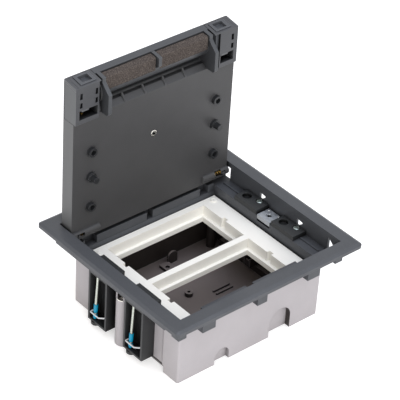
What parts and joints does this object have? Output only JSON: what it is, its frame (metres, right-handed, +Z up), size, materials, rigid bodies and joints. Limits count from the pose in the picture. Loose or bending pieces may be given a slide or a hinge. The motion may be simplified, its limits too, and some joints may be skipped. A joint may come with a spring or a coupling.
{
  "type": "floor socket box",
  "caption": "Square floor socket box with frame, tub, open module carrier, side claws and a hinged lid with latches and a foam-lined cable flap, drawn with the lid standing open.",
  "frame": {"origin": "centre of the underside of the tub", "axes": "+Z up, +Y towards the hinge of the lid, +X to the right seen from the latch side"},
  "size_m": [0.204, 0.1864, 0.2245],
  "materials": {
    "graphite_plastic": "fine matt grain",
    "lid_plastic": "matt moulded",
    "tub_plastic": "matt moulded",
    "carrier_plastic": "satin moulded",
    "black_plastic": "matt moulded",
    "blue_plastic": "glossy moulded",
    "white_wire": "coated wire",
    "zinc_steel": "zinc plated",
    "galvanised_steel": "galvanised",
    "steel": "bright",
    "brass": "bright wire",
    "foam": "open-cell foam"
  },
  "bodies": {
    "box": {"outer_frame": "graphite_plastic", "floor_tub": "tub_plastic", "floor_boss": "tub_plastic", "module_carrier": "carrier_plastic", "carrier_screws": "carrier_plastic", "boss_screws": "zinc_steel", "earth_plate": "zinc_steel", "earth_screw": "zinc_steel", "claw_housing_rear_left": "black_plastic", "clip_wire_rear_left": "white_wire", "claw_foot_rear_left": "black_plastic", "claw_housing_front_left": "black_plastic", "clip_wire_front_left": "white_wire", "claw_foot_front_left": "black_plastic", "claw_housing_rear_right": "black_plastic", "clip_wire_rear_right": "white_wire", "claw_foot_rear_right": "black_plastic", "claw_housing_front_right": "black_plastic", "clip_wire_front_right": "white_wire", "claw_foot_front_right": "black_plastic"},
    "lid": {"lid_shell": "lid_plastic", "lid_plate": "galvanised_steel", "lid_screw": "zinc_steel", "latch_housing_left": "graphite_plastic", "latch_housing_right": "graphite_plastic", "latch_spring_left": "brass", "latch_spring_right": "brass", "hinge_spring_left": "brass", "hinge_spring_right": "brass", "flap_rod": "steel"},
    "flap": {"cable_flap": "lid_plastic", "foam_strip_left": "foam", "foam_strip_right": "foam"},
    "latch_left": {"latch_bolt_left": "lid_plastic"},
    "pin_left": {"hinge_pin_left": "lid_plastic"},
    "latch_right": {"latch_bolt_right": "lid_plastic"},
    "pin_right": {"hinge_pin_right": "lid_plastic"},
    "screw_rear_left": {"clamp_screw_rear_left": "steel"},
    "sleeve_rear_left": {"clamp_sleeve_rear_left": "blue_plastic"},
    "screw_front_left": {"clamp_screw_front_left": "steel"},
    "sleeve_front_left": {"clamp_sleeve_front_left": "blue_plastic"},
    "screw_rear_right": {"clamp_screw_rear_right": "steel"},
    "sleeve_rear_right": {"clamp_sleeve_rear_right": "blue_plastic"},
    "screw_front_right": {"clamp_screw_front_right": "steel"},
    "sleeve_front_right": {"clamp_sleeve_front_right": "blue_plastic"}
  },
  "joints": [
    {"name": "lid_hinge", "type": "hinge", "parent": "box", "child": "lid", "pos_m": [0, 0.073, 0.073], "axis": [1, 0, 0], "range_deg": [0, 90]},
    {"name": "flap_hinge", "type": "hinge", "parent": "lid", "child": "flap", "pos_m": [0, 0.0767, 0.1918], "axis": [-1, 0, 0], "range_deg": [0, 80]},
    {"name": "latch_slide_left", "type": "slide", "parent": "lid", "child": "latch_left", "axis": [0, 0, 1], "range_m": [-0.003, 0.0015], "stiffness_N_per_m": 250, "deforming": ["latch_spring_left"]},
    {"name": "hinge_pin_slide_left", "type": "slide", "parent": "lid", "child": "pin_left", "axis": [1, 0, 0], "range_m": [0, 0.004], "stiffness_N_per_m": 250, "deforming": ["hinge_spring_left"]},
    {"name": "latch_slide_right", "type": "slide", "parent": "lid", "child": "latch_right", "axis": [0, 0, 1], "range_m": [-0.003, 0.0015], "stiffness_N_per_m": 250, "deforming": ["latch_spring_right"]},
    {"name": "hinge_pin_slide_right", "type": "slide", "parent": "lid", "child": "pin_right", "axis": [-1, 0, 0], "range_m": [0, 0.004], "stiffness_N_per_m": 250, "deforming": ["hinge_spring_right"]},
    {"name": "clamp_screw_turn_rear_left", "type": "hinge", "parent": "box", "child": "screw_rear_left", "pos_m": [-0.0849, 0.0292, 0.0653], "axis": [0.0506, 0, 0.9987], "range_deg": [0, 8640]},
    {"name": "clamp_sleeve_slide_rear_left", "type": "slide", "parent": "box", "child": "sleeve_rear_left", "axis": [0.0506, 0, 0.9987], "range_m": [0, 0.01199]},
    {"name": "clamp_screw_turn_front_left", "type": "hinge", "parent": "box", "child": "screw_front_left", "pos_m": [-0.0849, -0.0188, 0.0653], "axis": [0.0506, 0, 0.9987], "range_deg": [0, 8640]},
    {"name": "clamp_sleeve_slide_front_left", "type": "slide", "parent": "box", "child": "sleeve_front_left", "axis": [0.0506, 0, 0.9987], "range_m": [0, 0.01199]},
    {"name": "clamp_screw_turn_rear_right", "type": "hinge", "parent": "box", "child": "screw_rear_right", "pos_m": [0.0849, 0.0188, 0.0653], "axis": [-0.0506, 0, 0.9987], "range_deg": [0, 8640]},
    {"name": "clamp_sleeve_slide_rear_right", "type": "slide", "parent": "box", "child": "sleeve_rear_right", "axis": [-0.0506, 0, 0.9987], "range_m": [0, 0.01199]},
    {"name": "clamp_screw_turn_front_right", "type": "hinge", "parent": "box", "child": "screw_front_right", "pos_m": [0.0849, -0.0292, 0.0653], "axis": [-0.0506, 0, 0.9987], "range_deg": [0, 8640]},
    {"name": "clamp_sleeve_slide_front_right", "type": "slide", "parent": "box", "child": "sleeve_front_right", "axis": [-0.0506, 0, 0.9987], "range_m": [0, 0.01199]}
  ],
  "couplings": [
    {"joint": "clamp_screw_turn_rear_left", "follows": "clamp_sleeve_slide_rear_left", "rad_per_m": 12566},
    {"joint": "clamp_screw_turn_front_left", "follows": "clamp_sleeve_slide_front_left", "rad_per_m": 12566},
    {"joint": "clamp_screw_turn_rear_right", "follows": "clamp_sleeve_slide_rear_right", "rad_per_m": 12566},
    {"joint": "clamp_screw_turn_front_right", "follows": "clamp_sleeve_slide_front_right", "rad_per_m": 12566}
  ]
}
